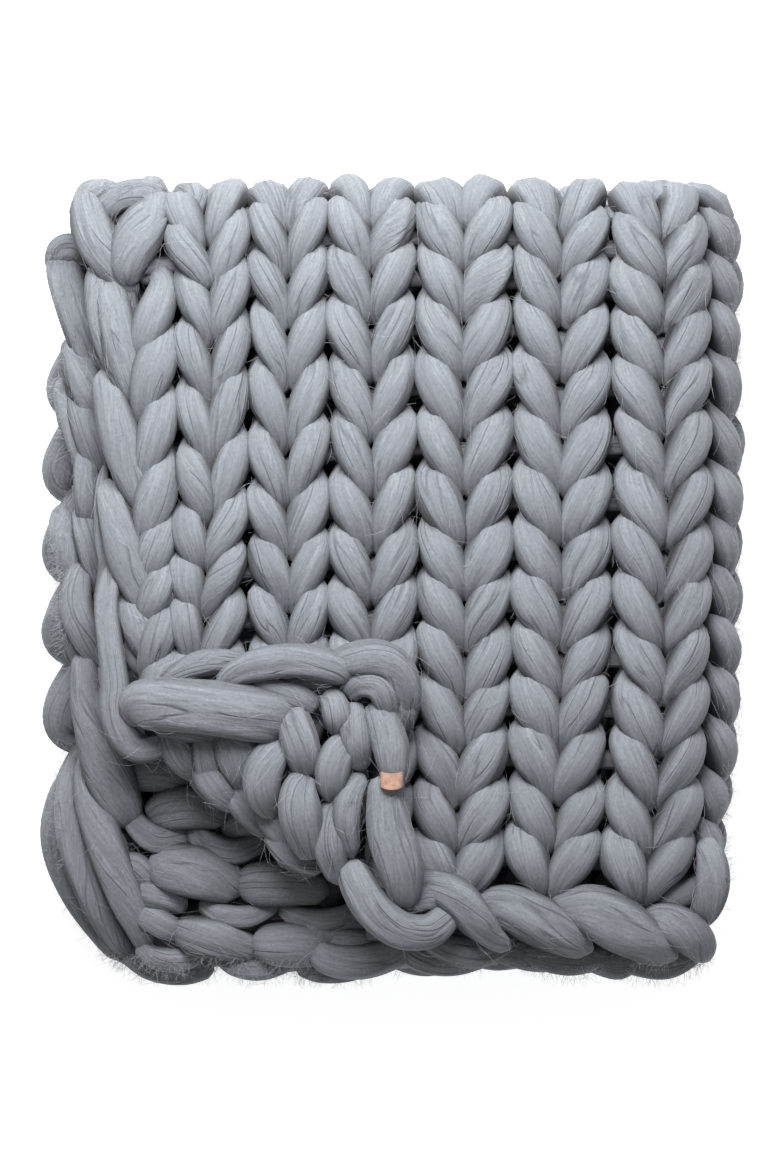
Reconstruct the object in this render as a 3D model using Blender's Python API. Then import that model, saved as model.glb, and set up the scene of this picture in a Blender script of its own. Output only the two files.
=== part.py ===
"""Chunky knit throw, folded in quarters, with one corner of the top layer turned back.

The cloth is one sheet of stockinette knitted from thick unspun roving. It is worked out flat, in
wales across (u), rows along (v) and metres towards the knit side (w), and then folded twice:
first along the top edge, which lays its second half underneath, then round the right side.
That gives four layers, and from the top they are numbered 1 to 4. The edges at the left and the
bottom are free. The raised stitches are points of the cloth's faces.
Metres, +Z up, +Y towards the folded top edge, origin under the middle of the pile.
"""
import math

import bmesh
import bpy
import numpy as np

# Cloth
WALES = 16.0                # stitches across the whole throw
FLAT_ROWS = 12.0            # rows between an end's hem and the top fold
TOP_FOLD_ROWS = 1.5         # rows that go round the top fold
HEM_ROWS = 0.8              # the cast-off or cast-on edge, in rows
HEM_CREST_ROWS = 0.5        # where its braid is fullest
THICKNESS = 0.034           # knit stitches, front to back
LAYER_PITCH = 0.036         # one layer to the next, so layers lie 2 mm apart
EDGE_ROUND = 0.009          # how far a free edge bulges past its last stitches
RELIEF = 0.010              # depth of the valleys between stitches
CHEVRON = 0.6               # rise of a stitch's legs from its middle to its sides, in rows

# Pile
FOLD_TOP_Y = 0.265          # where the top fold starts to turn
FOLD_SIDE_X = 0.1875        # where the right-hand fold starts to turn
SIDE_FOLD_POWER = 2.4       # squareness of the right-hand fold, 2 is round
SIDE_FOLD_START = 6.0 + 1.0 / 3.0   # the wale where the right-hand fold starts
SIDE_FOLD_END = 9.0         # and the wale where it ends
SIDE_FOLD_RISE = 0.022      # how far the bottom edge draws up round the right-hand fold

# Wale boundaries on the top layer, from its selvedge to the fold: narrow at the left
TOP_WALE_X = (-0.2326, -0.1615, -0.1073, -0.0480, 0.0165, 0.0868, 0.1600)
LOWER_EDGE_X = -0.2450      # even spacing of the lower layers' wales starts here
WALE_STEP = 0.066

# Left edge of each layer (x), from the bottom corner up to the top fold
EDGE_STATIONS = (0.0, 0.15, 0.33, 0.55, 0.77, 1.0)
LEFT_EDGE = {
    #         corner   low      lower    middle   upper    top
    1:      (-0.2000, -0.2140, -0.2030, -0.2090, -0.2180, -0.2340),
    2:      (-0.1850, -0.2360, -0.2420, -0.2440, -0.2480, -0.2480),
    3:      (-0.2020, -0.2540, -0.2590, -0.2600, -0.2590, -0.2520),
    4:      (-0.1950, -0.2450, -0.2500, -0.2520, -0.2500, -0.2460),
}
# Inward shift of the right-hand fold at the same stations
RIGHT_SHIFT = (-0.0240, -0.0090, -0.0010, 0.0, 0.0, -0.0020)

# Bottom edge of each layer (y), from the left edge to the right-hand fold
BOTTOM_STATIONS = (0.0, 0.2, 0.4, 0.6, 0.8, 1.0)
BOTTOM_EDGE = {
    #         left     second   third    fourth   fifth    fold
    1:      (-0.3160, -0.3080, -0.2960, -0.2800, -0.2760, -0.2810),
    2:      (-0.2810, -0.2985, -0.3010, -0.2960, -0.2910, -0.2985),
    3:      (-0.2760, -0.2930, -0.2960, -0.2980, -0.2940, -0.2960),
    4:      (-0.2700, -0.2900, -0.2940, -0.2960, -0.2920, -0.2900),
}

# Turned-back corner of the top layer: a line that it rolls over, and the roll's middle radius
CREASE_POINT = (-0.1477, -0.1045)
CREASE_DIRECTION = (0.793, -0.609)
CREASE_RADIUS = LAYER_PITCH / 2.0 + 0.0005
FLAP_MARGIN = 0.012         # stitches are plain from this far inside the flap's edges

# Leather label on the turned-back corner
LABEL_CENTRE = (-0.0025, -0.1475)
LABEL_WIDTH = 0.0176
LABEL_HEIGHT = 0.0124
LABEL_THICKNESS = 0.0015
LABEL_ARCH = 0.0022
LABEL_GAP = 0.0003
LABEL_STEPS = 10
LABEL_SEAT = 0.026          # the stitches are level this far from the label's centre

# Mesh
COLUMNS_PER_WALE = 6
LINES_PER_ROW = 4
HIDDEN_COLUMNS_PER_WALE = 2
FLAT_ANGLE = math.radians(0.3)

COLOURS = {
    "throw_knit": (0.47, 0.50, 0.53),
    "leather_label": (0.68, 0.42, 0.29),
}

ROWS_END = 2.0 * FLAT_ROWS + TOP_FOLD_ROWS
PACK_PITCH = 2.0 * LAYER_PITCH
PILE_MIDDLE_Z = PACK_PITCH / 2.0 + LAYER_PITCH / 2.0 + THICKNESS / 2.0
TOP_LAYER_Z = PILE_MIDDLE_Z + PACK_PITCH / 2.0 + LAYER_PITCH / 2.0
FLAP_TOP_Z = TOP_LAYER_Z + 2.0 * CREASE_RADIUS + THICKNESS / 2.0


def smooth_step(value, low, high):
    """0 below low, 1 above high, and a smooth rise between them."""
    share = np.clip((value - low) / (high - low), 0.0, 1.0)
    return share * share * (3.0 - 2.0 * share)


def side_fold_profile(share):
    """Half a squared circle from its top round to its bottom, at an arc-length share of 0 to 1."""
    angle = np.linspace(0.0, math.pi, 361)
    power = 2.0 / SIDE_FOLD_POWER
    across = np.abs(np.sin(angle)) ** power
    up = np.sign(np.cos(angle)) * np.abs(np.cos(angle)) ** power
    run = np.concatenate(([0.0], np.cumsum(np.hypot(np.diff(across), np.diff(up)))))
    run /= run[-1]
    return np.interp(share, run, across), np.interp(share, run, up)


def by_layer(table, stations, place, side_turn, top_turn):
    """Read a table with one row a layer, blended where one layer turns into the next."""
    value = {layer: np.interp(place, stations, row) for layer, row in table.items()}
    upper = value[1] * (1.0 - top_turn) + value[2] * top_turn
    lower = value[4] * (1.0 - top_turn) + value[3] * top_turn
    return upper * (1.0 - side_turn) + lower * side_turn


def wale_x(u):
    """Even place of a wale line across a flat layer, before its edge is shaped."""
    edges = np.arange(len(TOP_WALE_X), dtype=float)
    stops = np.concatenate(([-1.0], edges, [SIDE_FOLD_START]))
    places = np.concatenate(([TOP_WALE_X[0] - WALE_STEP], TOP_WALE_X, [FOLD_SIDE_X]))
    upper = np.interp(u, stops, places)
    lower_step = (FOLD_SIDE_X - LOWER_EDGE_X) / (WALES - SIDE_FOLD_END)
    lower = FOLD_SIDE_X - (u - SIDE_FOLD_END) * lower_step
    return np.where(u >= SIDE_FOLD_END, lower, upper)


def fold_turns(u, v):
    """Share of the right-hand fold and of the top fold that a point has gone round."""
    side = np.clip((u - SIDE_FOLD_START) / (SIDE_FOLD_END - SIDE_FOLD_START), 0.0, 1.0)
    top = np.clip((v - FLAT_ROWS) / TOP_FOLD_ROWS, 0.0, 1.0)
    return side, top


def crease_distance(x, y):
    """Distance past the line that the corner rolls over, towards the bottom-left corner."""
    normal_x, normal_y = CREASE_DIRECTION[1], -CREASE_DIRECTION[0]
    return (x - CREASE_POINT[0]) * normal_x + (y - CREASE_POINT[1]) * normal_y


def lies_under_flap(x, y):
    """True where the turned corner covers the top layer: its unrolled place is still cloth."""
    roll_length = math.pi * CREASE_RADIUS
    back = roll_length - 2.0 * crease_distance(x, y)
    from_x = x + back * CREASE_DIRECTION[1]
    from_y = y - back * CREASE_DIRECTION[0]
    inside_left = from_x > LEFT_EDGE[1][0] + FLAP_MARGIN
    inside_bottom = from_y > BOTTOM_EDGE[1][0] + FLAP_MARGIN
    return inside_left & inside_bottom


def turn_corner(x, y, z):
    """Roll what lies past the crease line up and over, back onto the top layer."""
    past = crease_distance(x, y)
    offset = z - TOP_LAYER_Z
    angle = np.clip(past / CREASE_RADIUS, 0.0, math.pi)
    beyond = np.maximum(past - math.pi * CREASE_RADIUS, 0.0)
    new_past = (CREASE_RADIUS - offset) * np.sin(angle) - beyond
    new_z = TOP_LAYER_Z + CREASE_RADIUS - (CREASE_RADIUS - offset) * np.cos(angle)
    rolled = past > 0.0
    move = np.where(rolled, new_past - past, 0.0)
    new_x = x + move * CREASE_DIRECTION[1]
    new_y = y - move * CREASE_DIRECTION[0]
    return new_x, new_y, np.where(rolled, new_z, z)


def flat_place(u, v):
    """Plan position of a cloth point on its own layer, before the folds lift it."""
    side, top = fold_turns(u, v)
    side_turn = smooth_step(side, 0.0, 1.0)
    top_turn = smooth_step(top, 0.0, 1.0)
    reach_y = np.where(top < 1.0, v + HEM_ROWS, ROWS_END + HEM_ROWS - v)
    reach_y = reach_y / (FLAT_ROWS + HEM_ROWS)
    share_y = np.where((top > 0.0) & (top < 1.0), 1.0, reach_y)

    even_x = wale_x(u)
    edge_x = np.where(u >= SIDE_FOLD_END, LOWER_EDGE_X, TOP_WALE_X[0])
    reach_x = np.clip((FOLD_SIDE_X - even_x) / (FOLD_SIDE_X - edge_x), 0.0, 1.2)
    left = by_layer(LEFT_EDGE, EDGE_STATIONS, share_y, side_turn, top_turn) + EDGE_ROUND
    right = np.interp(share_y, EDGE_STATIONS, RIGHT_SHIFT)
    x = even_x + (left - edge_x) * reach_x ** 3 + right * (1.0 - np.minimum(reach_x, 1.0) ** 2)

    bottom = by_layer(BOTTOM_EDGE, BOTTOM_STATIONS, 1.0 - reach_x, side_turn, top_turn)
    bottom = bottom + EDGE_ROUND + SIDE_FOLD_RISE * np.sin(math.pi * side) ** 2
    y = bottom + share_y * (FOLD_TOP_Y - bottom)
    return x, y


def cloth_point(u, v, w):
    """World position of the cloth point at wale u, row v and w metres to the knit side."""
    u, v, w = np.broadcast_arrays(np.asarray(u, float), np.asarray(v, float), np.asarray(w, float))
    side, top = fold_turns(u, v)
    x, y = flat_place(u, v)
    around = LAYER_PITCH / 2.0 + w
    y = y + around * np.sin(math.pi * top)
    radius = PACK_PITCH / 2.0 + around * np.cos(math.pi * top)
    fold_x, fold_z = side_fold_profile(side)
    x = x + radius * fold_x
    z = PILE_MIDDLE_Z + radius * fold_z
    on_top_layer = (side <= 0.0) & (top <= 0.0)
    turned_x, turned_y, turned_z = turn_corner(x, y, z)
    x = np.where(on_top_layer, turned_x, x)
    y = np.where(on_top_layer, turned_y, y)
    z = np.where(on_top_layer, turned_z, z)
    return np.stack((x, y, z), axis=-1)


def pillow(phase):
    """A rounded bump from 0 to 0 as the phase goes from one whole number to the next."""
    return np.sqrt(np.abs(np.sin(math.pi * phase)))


def leg_place(u):
    """0 at the middle of a wale, 1 where two wales meet."""
    return 2.0 * np.abs(u - np.floor(u) - 0.5)


def knit_height(u, row):
    """Knit side: two slanting legs a stitch, long ones along the selvedges, braid along a hem."""
    legs = pillow(leg_place(u)) * pillow(row)
    selvedge = pillow(np.minimum(u, WALES - u)) * pillow(row / 2.0)
    edge_wale = np.minimum(u, WALES - u) < 0.5
    hem_share = np.where(row < 0.0, -row, row - ROWS_END) / HEM_ROWS
    braid = pillow(u + 0.7 * hem_share) * pillow(np.clip(hem_share, 0.0, 1.0) * 0.8 + 0.1)
    height = np.where(edge_wale, selvedge, legs)
    return np.where(hem_share > 0.0, braid, height)


def purl_height(u, row):
    """Purl side: each row is a line of bumps and, half a wale along, a second line."""
    second = (2.0 * row - np.floor(2.0 * row / 2.0) * 2.0) >= 1.0
    bumps = pillow(u + np.where(second, 0.5, 0.0)) * pillow(2.0 * row)
    selvedge = pillow(np.minimum(u, WALES - u)) * pillow(row / 2.0)
    edge_wale = np.minimum(u, WALES - u) < 0.5
    hem_share = np.where(row < 0.0, -row, row - ROWS_END) / HEM_ROWS
    braid = pillow(u - 0.7 * hem_share) * pillow(np.clip(hem_share, 0.0, 1.0) * 0.8 + 0.1)
    height = np.where(edge_wale, selvedge, bumps)
    return np.where(hem_share > 0.0, braid, height)


def knit_shows(u, v):
    """1 where the knit side is seen: the top, both folds and the free edges, 0 underneath."""
    side, top = fold_turns(u, v)
    facing_up = np.cos(math.pi * side) * np.cos(math.pi * top)
    outside = smooth_step(np.cos(math.pi * top), -0.95, -0.5)
    shows = outside * smooth_step(facing_up, -0.97, -0.7)
    x, y = flat_place(u, v)
    hidden = (crease_distance(x, y) > 0.0) | lies_under_flap(x, y)
    return np.where((side <= 0.0) & (top <= 0.0) & hidden, 0.0, shows)


def purl_shows(u, v):
    """1 where the purl side is seen: the turned corner, and layer 2 beside and below it."""
    side, top = fold_turns(u, v)
    x, y = flat_place(u, v)
    past = crease_distance(x, y)
    corner = (side <= 0.0) & (top <= 0.0) & (past > 0.0)
    place = cloth_point(u, v, -THICKNESS / 2.0)
    from_label = np.hypot(place[..., 0] - LABEL_CENTRE[0], place[..., 1] - LABEL_CENTRE[1])
    corner &= from_label > LABEL_SEAT
    second_layer = (side <= 0.0) & (top >= 1.0) & ((past > 0.02) | (u < 0.5))
    return np.where(corner | second_layer, 1.0, 0.0)


def column_lines():
    """Wale lines of the mesh: close where stitches show, wider where layers hide them."""
    seen_until = SIDE_FOLD_END + 0.5
    seen = np.linspace(0.0, seen_until, round(seen_until * COLUMNS_PER_WALE) + 1)
    hidden_until = WALES - 1.0
    hidden = np.linspace(seen_until, hidden_until,
                         round((hidden_until - seen_until) * HIDDEN_COLUMNS_PER_WALE) + 1)
    edge = np.linspace(hidden_until, WALES, COLUMNS_PER_WALE + 1)
    return np.concatenate((seen, hidden[1:], edge[1:]))


def row_lines():
    """Row lines of the mesh, with the hems at both ends."""
    hem = np.array((-HEM_ROWS, -HEM_CREST_ROWS, 0.0))
    rows = np.linspace(0.0, ROWS_END, round(ROWS_END * LINES_PER_ROW) + 1)
    end_hem = ROWS_END - hem[::-1]
    return np.concatenate((hem, rows[1:], end_hem[1:]))


def cloth_faces_points():
    """Grids of points on the knit side, the purl side and round the free edge between them."""
    u, row = np.meshgrid(column_lines(), row_lines(), indexing="ij")
    fade = smooth_step(row, 0.0, 1.0) * smooth_step(ROWS_END - row, 0.0, 1.0)
    fade = fade * smooth_step(np.minimum(u, WALES - u), 0.3, 0.6)
    knit_v = row + CHEVRON * (leg_place(u) - 0.5) * fade

    edge_near = np.minimum(u, WALES - u) / 0.5
    end_near = np.minimum(row + HEM_ROWS, ROWS_END + HEM_ROWS - row) / (HEM_ROWS - HEM_CREST_ROWS)
    full = np.sqrt(np.clip(np.minimum(edge_near, end_near), 0.0, 1.0))
    half = THICKNESS / 2.0 * (0.62 + 0.38 * full)

    knit_drop = RELIEF * (1.0 - knit_height(u, row)) * knit_shows(u, knit_v)
    purl_drop = RELIEF * (1.0 - purl_height(u, row)) * purl_shows(u, row)
    knit = cloth_point(u, knit_v, half - knit_drop * full)
    purl = cloth_point(u, row, -half + purl_drop * full)
    return knit, purl


def rim_points(u, row):
    """Points round the free edge, a little outside it, scalloped by the stitches."""
    scallop = 0.55 + 0.45 * pillow(row / 2.0 + 0.25)
    braid_scallop = 0.55 + 0.45 * pillow(u + 0.35)
    side_out = EDGE_ROUND / WALE_STEP
    end_out = EDGE_ROUND * FLAT_ROWS / (FOLD_TOP_Y * 2.0)
    out_u = np.where(u <= 0.0, -side_out * scallop, 0.0) + np.where(u >= WALES, side_out * scallop, 0.0)
    low_end = row <= -HEM_ROWS
    high_end = row >= ROWS_END + HEM_ROWS
    out_v = np.where(low_end, -end_out * braid_scallop, 0.0)
    out_v = out_v + np.where(high_end, end_out * braid_scallop, 0.0)
    return cloth_point(u + out_u, row + out_v, 0.0)


def edge_loop(columns, rows):
    """Grid places of the free edge, in order once round the cloth."""
    loop = [(i, 0) for i in range(columns)]
    loop += [(columns - 1, j) for j in range(1, rows)]
    loop += [(i, rows - 1) for i in range(columns - 2, -1, -1)]
    loop += [(0, j) for j in range(rows - 2, 0, -1)]
    return loop


def add_grid(mesh, points, flip):
    """Lay a grid of faces over points and return its vertices in grid order."""
    columns, rows = points.shape[:2]
    verts = [[mesh.verts.new(points[i, j]) for j in range(rows)] for i in range(columns)]
    for i in range(columns - 1):
        for j in range(rows - 1):
            quad = [verts[i][j], verts[i + 1][j], verts[i + 1][j + 1], verts[i][j + 1]]
            mesh.faces.new(quad[::-1] if flip else quad)
    return verts


def make_object(name, mesh):
    """Turn a bmesh into a named object with its own material."""
    data = bpy.data.meshes.new(name)
    mesh.to_mesh(data)
    mesh.free()
    item = bpy.data.objects.new(name, data)
    bpy.context.collection.objects.link(item)
    material = bpy.data.materials.new(name)
    material.use_nodes = True
    shader = material.node_tree.nodes["Principled BSDF"]
    shader.inputs["Base Color"].default_value = (*COLOURS[name], 1.0)
    shader.inputs["Roughness"].default_value = 0.85 if name == "throw_knit" else 0.6
    shader.inputs["Metallic"].default_value = 0.0
    data.materials.append(material)
    return item


def make_throw():
    """The folded cloth: knit face, purl face and the bulging free edge, as one closed solid."""
    columns, rows = column_lines(), row_lines()
    knit, purl = cloth_faces_points()
    mesh = bmesh.new()
    knit_verts = add_grid(mesh, knit, flip=False)
    purl_verts = add_grid(mesh, purl, flip=True)
    loop = edge_loop(len(columns), len(rows))
    u = np.array([columns[i] for i, j in loop])
    row = np.array([rows[j] for i, j in loop])
    rim = [mesh.verts.new(point) for point in rim_points(u, row)]
    for here in range(len(loop)):
        after = (here + 1) % len(loop)
        i, j = loop[here]
        k, m = loop[after]
        mesh.faces.new((knit_verts[k][m], knit_verts[i][j], rim[here], rim[after]))
        mesh.faces.new((rim[after], rim[here], purl_verts[i][j], purl_verts[k][m]))
    mesh.normal_update()
    bmesh.ops.recalc_face_normals(mesh, faces=mesh.faces[:])
    bmesh.ops.dissolve_limit(mesh, angle_limit=FLAT_ANGLE, verts=mesh.verts[:], edges=mesh.edges[:])
    bmesh.ops.triangulate(mesh, faces=mesh.faces[:])
    return make_object("throw_knit", mesh)


def make_label():
    """A strip of leather arched over its strand, resting on the turned-back corner."""
    mesh = bmesh.new()
    across = np.linspace(-0.5, 0.5, LABEL_STEPS + 1)
    lift = LABEL_ARCH * (1.0 - (2.0 * across) ** 2)
    base = FLAP_TOP_Z + LABEL_GAP
    rings = []
    for share, rise in zip(across, lift):
        x = LABEL_CENTRE[0] + share * LABEL_WIDTH
        low, high = LABEL_CENTRE[1] - LABEL_HEIGHT / 2.0, LABEL_CENTRE[1] + LABEL_HEIGHT / 2.0
        corners = ((low, 0.0), (high, 0.0), (high, LABEL_THICKNESS), (low, LABEL_THICKNESS))
        rings.append([mesh.verts.new((x, y, base + rise + z)) for y, z in corners])
    for ring, after in zip(rings, rings[1:]):
        for side in range(4):
            mesh.faces.new((ring[side], after[side], after[(side + 1) % 4], ring[(side + 1) % 4]))
    mesh.faces.new(rings[0])
    mesh.faces.new(rings[-1][::-1])
    bmesh.ops.recalc_face_normals(mesh, faces=mesh.faces[:])
    return make_object("leather_label", mesh)


def main():
    """Build the throw and its label, and centre the pile on the origin."""
    for item in list(bpy.data.objects):
        bpy.data.objects.remove(item)
    throw = make_throw()
    label = make_label()
    points = np.array([vertex.co[:] for vertex in throw.data.vertices])
    low, high = points.min(axis=0), points.max(axis=0)
    shift = (-(low[0] + high[0]) / 2.0, -(low[1] + high[1]) / 2.0, -low[2])
    for item in (throw, label):
        for vertex in item.data.vertices:
            vertex.co.x += shift[0]
            vertex.co.y += shift[1]
            vertex.co.z += shift[2]
    print("throw size", (high - low).round(4), "shift", np.round(shift, 4),
          "triangles", len(throw.data.polygons))


main()
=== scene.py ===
import bpy
import math
import numpy as np
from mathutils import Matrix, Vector


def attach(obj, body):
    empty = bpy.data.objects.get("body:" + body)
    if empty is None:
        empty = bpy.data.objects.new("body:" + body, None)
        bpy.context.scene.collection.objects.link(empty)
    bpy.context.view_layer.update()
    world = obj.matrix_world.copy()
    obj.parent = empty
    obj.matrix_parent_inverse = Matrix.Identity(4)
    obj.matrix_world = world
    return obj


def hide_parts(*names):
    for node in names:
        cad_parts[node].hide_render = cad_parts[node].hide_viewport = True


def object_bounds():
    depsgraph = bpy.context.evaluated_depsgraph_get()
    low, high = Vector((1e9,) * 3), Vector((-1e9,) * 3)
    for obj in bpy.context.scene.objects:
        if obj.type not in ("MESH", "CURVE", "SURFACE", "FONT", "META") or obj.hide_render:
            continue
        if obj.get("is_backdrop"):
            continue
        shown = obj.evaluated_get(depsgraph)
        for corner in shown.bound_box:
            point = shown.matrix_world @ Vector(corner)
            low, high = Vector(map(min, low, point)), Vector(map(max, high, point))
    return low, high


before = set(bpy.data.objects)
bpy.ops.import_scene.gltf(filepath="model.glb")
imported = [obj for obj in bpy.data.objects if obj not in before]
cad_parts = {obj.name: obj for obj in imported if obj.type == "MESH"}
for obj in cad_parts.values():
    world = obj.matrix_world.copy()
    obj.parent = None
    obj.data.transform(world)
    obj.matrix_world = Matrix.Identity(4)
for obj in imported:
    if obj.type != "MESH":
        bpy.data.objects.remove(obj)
cadLow, cadHigh = (np.array(corner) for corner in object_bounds())
rng = np.random.default_rng(41)

# the folded cloth: wales across (u), rows along (v), metres to the knit side (w)

cloth = {
    "wales": 16.0, "flatRows": 12.0, "topFoldRows": 1.5, "hemRows": 0.8,
    "layerPitch": 0.036, "thickness": 0.034, "edgeRound": 0.009,
    "foldTopY": 0.265, "foldSideX": 0.1875, "sideFoldPower": 2.4,
    "sideFoldStart": 6.0 + 1.0 / 3.0, "sideFoldEnd": 9.0, "sideFoldRise": 0.022,
    "topWaleX": (-0.2326, -0.1615, -0.1073, -0.0480, 0.0165, 0.0868, 0.1600),
    "lowerEdgeX": -0.2450, "waleStep": 0.066,
    "edgeStations": (0.0, 0.15, 0.33, 0.55, 0.77, 1.0),
    "leftEdge": {
        1: (-0.2000, -0.2140, -0.2030, -0.2090, -0.2180, -0.2260),
        2: (-0.1850, -0.2360, -0.2420, -0.2440, -0.2480, -0.2380),
        3: (-0.2020, -0.2540, -0.2590, -0.2600, -0.2590, -0.2390),
        4: (-0.1950, -0.2450, -0.2500, -0.2520, -0.2500, -0.2360)},
    "rightShift": (-0.0240, -0.0090, -0.0010, 0.0, 0.0, -0.0020),
    "bottomStations": (0.0, 0.2, 0.4, 0.6, 0.8, 1.0),
    "bottomEdge": {
        1: (-0.3160, -0.3080, -0.2960, -0.2800, -0.2760, -0.2810),
        2: (-0.2810, -0.2985, -0.3010, -0.2960, -0.2910, -0.2985),
        3: (-0.2760, -0.2930, -0.2960, -0.2980, -0.2940, -0.2960),
        4: (-0.2700, -0.2900, -0.2940, -0.2960, -0.2920, -0.2900)},
    "creasePoint": (-0.1477, -0.1045), "creaseDirection": (0.793, -0.609),
    "creaseRadius": 0.0185, "centring": (0.0008, 0.0010, 0.0),
    "leftHold": 12, "rightHold": 2.2,  # powers that keep the shape of an edge near it
    # leaning wales: wale, reach in wales, metres, and where up the cloth each sets in and is whole
    "leans": ((1.45, 0.38, 0.0110, 0.72, 0.44), (1.20, 0.42, 0.0085, 0.90, 0.98)),
}
rowsEnd = 2.0 * cloth["flatRows"] + cloth["topFoldRows"]
packPitch = 2.0 * cloth["layerPitch"]
pileMiddleZ = packPitch / 2 + cloth["layerPitch"] / 2 + cloth["thickness"] / 2
topLayerZ = pileMiddleZ + packPitch / 2 + cloth["layerPitch"] / 2


def smoothStep(x, low, high):
    s = np.clip((x - low) / (high - low), 0.0, 1.0)
    return s * s * (3.0 - 2.0 * s)


def between(x, start, full, ends, gone):
    # rises from start to full and falls again from ends to gone
    return smoothStep(x, start, full) * (1 - smoothStep(x, ends, gone))


def unit(vectors):
    return vectors / np.maximum(np.linalg.norm(vectors, axis=-1, keepdims=True), 1e-9)


def sideFoldProfile(share):
    # half of a squared circle, read at an even share of its length
    angle = np.linspace(0.0, math.pi, 361)
    power = 2.0 / cloth["sideFoldPower"]
    across = np.abs(np.sin(angle)) ** power
    up = np.sign(np.cos(angle)) * np.abs(np.cos(angle)) ** power
    run = np.concatenate(([0.0], np.cumsum(np.hypot(np.diff(across), np.diff(up)))))
    run /= run[-1]
    return np.interp(share, run, across), np.interp(share, run, up)


def byLayer(table, stations, place, sideTurn, topTurn):
    # one table row a layer, blended where a layer turns into the next
    value = {layer: np.interp(place, stations, row) for layer, row in table.items()}
    upper = value[1] * (1 - topTurn) + value[2] * topTurn
    lower = value[4] * (1 - topTurn) + value[3] * topTurn
    return upper * (1 - sideTurn) + lower * sideTurn


def creaseDistance(x, y):
    nx, ny = cloth["creaseDirection"][1], -cloth["creaseDirection"][0]
    return (x - cloth["creasePoint"][0]) * nx + (y - cloth["creasePoint"][1]) * ny


def foldTurns(u, v):
    side = np.clip((u - cloth["sideFoldStart"]) / (cloth["sideFoldEnd"] - cloth["sideFoldStart"]), 0, 1)
    top = np.clip((v - cloth["flatRows"]) / cloth["topFoldRows"], 0, 1)
    return side, top


def flatPlace(u, v):
    # plan place of a cloth point on its own layer, before the folds lift it
    side, top = foldTurns(u, v)
    sideTurn, topTurn = smoothStep(side, 0, 1), smoothStep(top, 0, 1)
    reachY = np.where(top < 1.0, v + cloth["hemRows"], rowsEnd + cloth["hemRows"] - v)
    reachY = reachY / (cloth["flatRows"] + cloth["hemRows"])
    shareY = np.where((top > 0) & (top < 1), 1.0, reachY)
    waleX = cloth["topWaleX"]
    stops = np.concatenate(([-1.0], np.arange(len(waleX)), [cloth["sideFoldStart"]]))
    places = np.concatenate(([waleX[0] - cloth["waleStep"]], waleX, [cloth["foldSideX"]]))
    upper = np.interp(u, stops, places)
    lowerStep = (cloth["foldSideX"] - cloth["lowerEdgeX"]) / (cloth["wales"] - cloth["sideFoldEnd"])
    lower = cloth["foldSideX"] - (u - cloth["sideFoldEnd"]) * lowerStep
    under = u >= cloth["sideFoldEnd"]
    evenX = np.where(under, lower, upper)
    edgeX = np.where(under, cloth["lowerEdgeX"], waleX[0])
    reachX = np.clip((cloth["foldSideX"] - evenX) / (cloth["foldSideX"] - edgeX), 0.0, 1.2)
    left = byLayer(cloth["leftEdge"], cloth["edgeStations"], shareY, sideTurn, topTurn) + cloth["edgeRound"]
    right = np.interp(shareY, cloth["edgeStations"], cloth["rightShift"])
    drift = sum(metres * np.exp(-((u - wale) / reach) ** 2) * smoothStep(shareY, start, whole)
                for wale, reach, metres, start, whole in cloth["leans"])
    x = evenX + (left - edgeX) * reachX ** cloth["leftHold"]
    x = x + right * (1 - np.minimum(reachX, 1.0)) ** cloth["rightHold"] - np.where(under, 0.0, drift)
    bottom = byLayer(cloth["bottomEdge"], cloth["bottomStations"], 1 - reachX, sideTurn, topTurn)
    bottom = bottom + cloth["edgeRound"] + cloth["sideFoldRise"] * np.sin(math.pi * side) ** 2
    return x, bottom + shareY * (cloth["foldTopY"] - bottom)


def turnCorner(x, y, z):
    # what lies past the crease rolls up and over, back onto the top layer
    radius = cloth["creaseRadius"]
    past = creaseDistance(x, y)
    offset = z - topLayerZ
    angle = np.clip(past / radius, 0.0, math.pi)
    beyond = np.maximum(past - math.pi * radius, 0.0)
    newPast = (radius - offset) * np.sin(angle) - beyond
    newZ = topLayerZ + radius - (radius - offset) * np.cos(angle)
    rolled = past > 0.0
    move = np.where(rolled, newPast - past, 0.0)
    dx, dy = cloth["creaseDirection"]
    return x + move * dy, y - move * dx, np.where(rolled, newZ, z)


def clothPoint(u, v, w):
    # place of the cloth point at wale u, row v, w metres to the knit side
    side, top = foldTurns(u, v)
    x, y = flatPlace(u, v)
    around = cloth["layerPitch"] / 2 + w
    y = y + around * np.sin(math.pi * top)
    radius = packPitch / 2 + around * np.cos(math.pi * top)
    foldX, foldZ = sideFoldProfile(side)
    x = x + radius * foldX
    z = pileMiddleZ + radius * foldZ
    onTop = ((side <= 0) & (top <= 0))[..., None]
    turned = np.stack(turnCorner(x, y, z), axis=-1)
    return np.where(onTop, turned, np.stack((x, y, z), axis=-1)) + cloth["centring"]


# strands: a centre line carried through the cloth, with a soft oval section

strandShape = {
    "waves": ((2, 0.030, 0.021), (3, 0.022, -0.014), (5, 0.012, 0.017)),  # lobes, depth, metres along
    "dents": (-0.95, -0.05, 0.90), "dentDepth": 0.14, "dentWidth": 0.21, "dentRun": 0.026,
    "dentShare": 0.25, "wander": 0.34, "wanderRun": 0.034, "fullness": 0.84,
    "girth": 0.015, "grainSwing": 0.35, "swingRun": 0.045, "ends": (0.45, 0.8),
    # edgeShown, heightShown and heightShare set where the painted shade is lifted: near the pile's outline
    # and on its high parts
    "edgeShown": (0.92, 0.99), "heightShown": (0.148, 0.162), "heightShare": 0.55,
    "overFloor": 0.0008, "hairSide": -0.2, "seedStep": 0.37, "normalStep": 0.004,
}


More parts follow.
